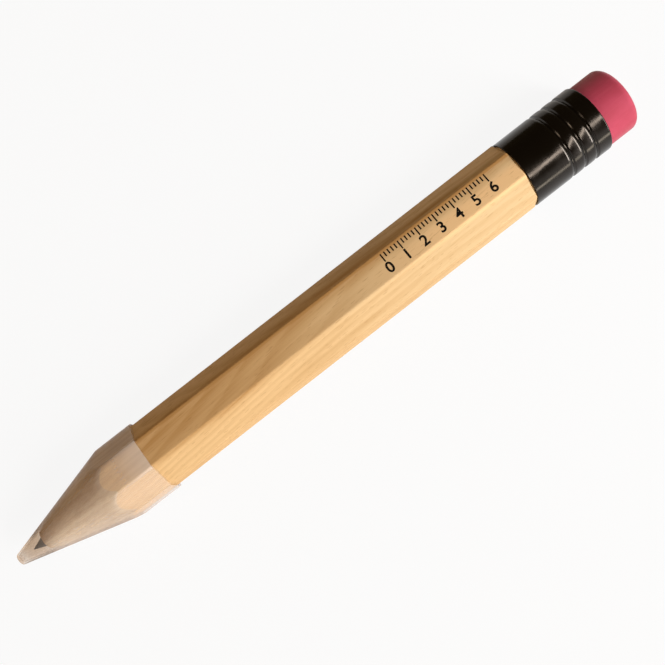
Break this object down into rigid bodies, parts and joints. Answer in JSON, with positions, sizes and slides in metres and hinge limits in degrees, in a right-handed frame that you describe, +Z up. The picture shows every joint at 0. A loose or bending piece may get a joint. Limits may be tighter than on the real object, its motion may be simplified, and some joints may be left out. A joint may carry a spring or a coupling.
{
  "type": "giant pencil",
  "caption": "Oversized wood-cased pencil with an octagonal varnished barrel, a grooved black ferrule, a pink eraser and a clear cap that pulls off its sharpened point.",
  "frame": {"origin": "on the surface that the pencil lies on, under the middle of its length with the cap on", "axes": "+X along the pencil from its point to its eraser, +Z up, out of the barrel's top flat"},
  "size_m": [0.358, 0.0356, 0.0355],
  "materials": {
    "varnished_wood": "clear satin varnish over straight-grained pale wood",
    "graphite": "sharpened graphite with a dull sheen",
    "black_plastic": "glossy moulded black",
    "pink_rubber": "matt pink eraser rubber",
    "clear_plastic": "thin clear plastic with a slight milky haze"
  },
  "bodies": {
    "pencil": {"upper_slat": "varnished_wood", "lower_slat": "varnished_wood", "graphite_lead": "graphite", "ferrule": "black_plastic", "eraser": "pink_rubber"},
    "cap": {"tip_cap": "clear_plastic"}
  },
  "joints": [
    {"name": "cap_pull", "type": "slide", "parent": "pencil", "child": "cap", "axis": [-1, 0, 0], "range_m": [0, 0.08]}
  ]
}
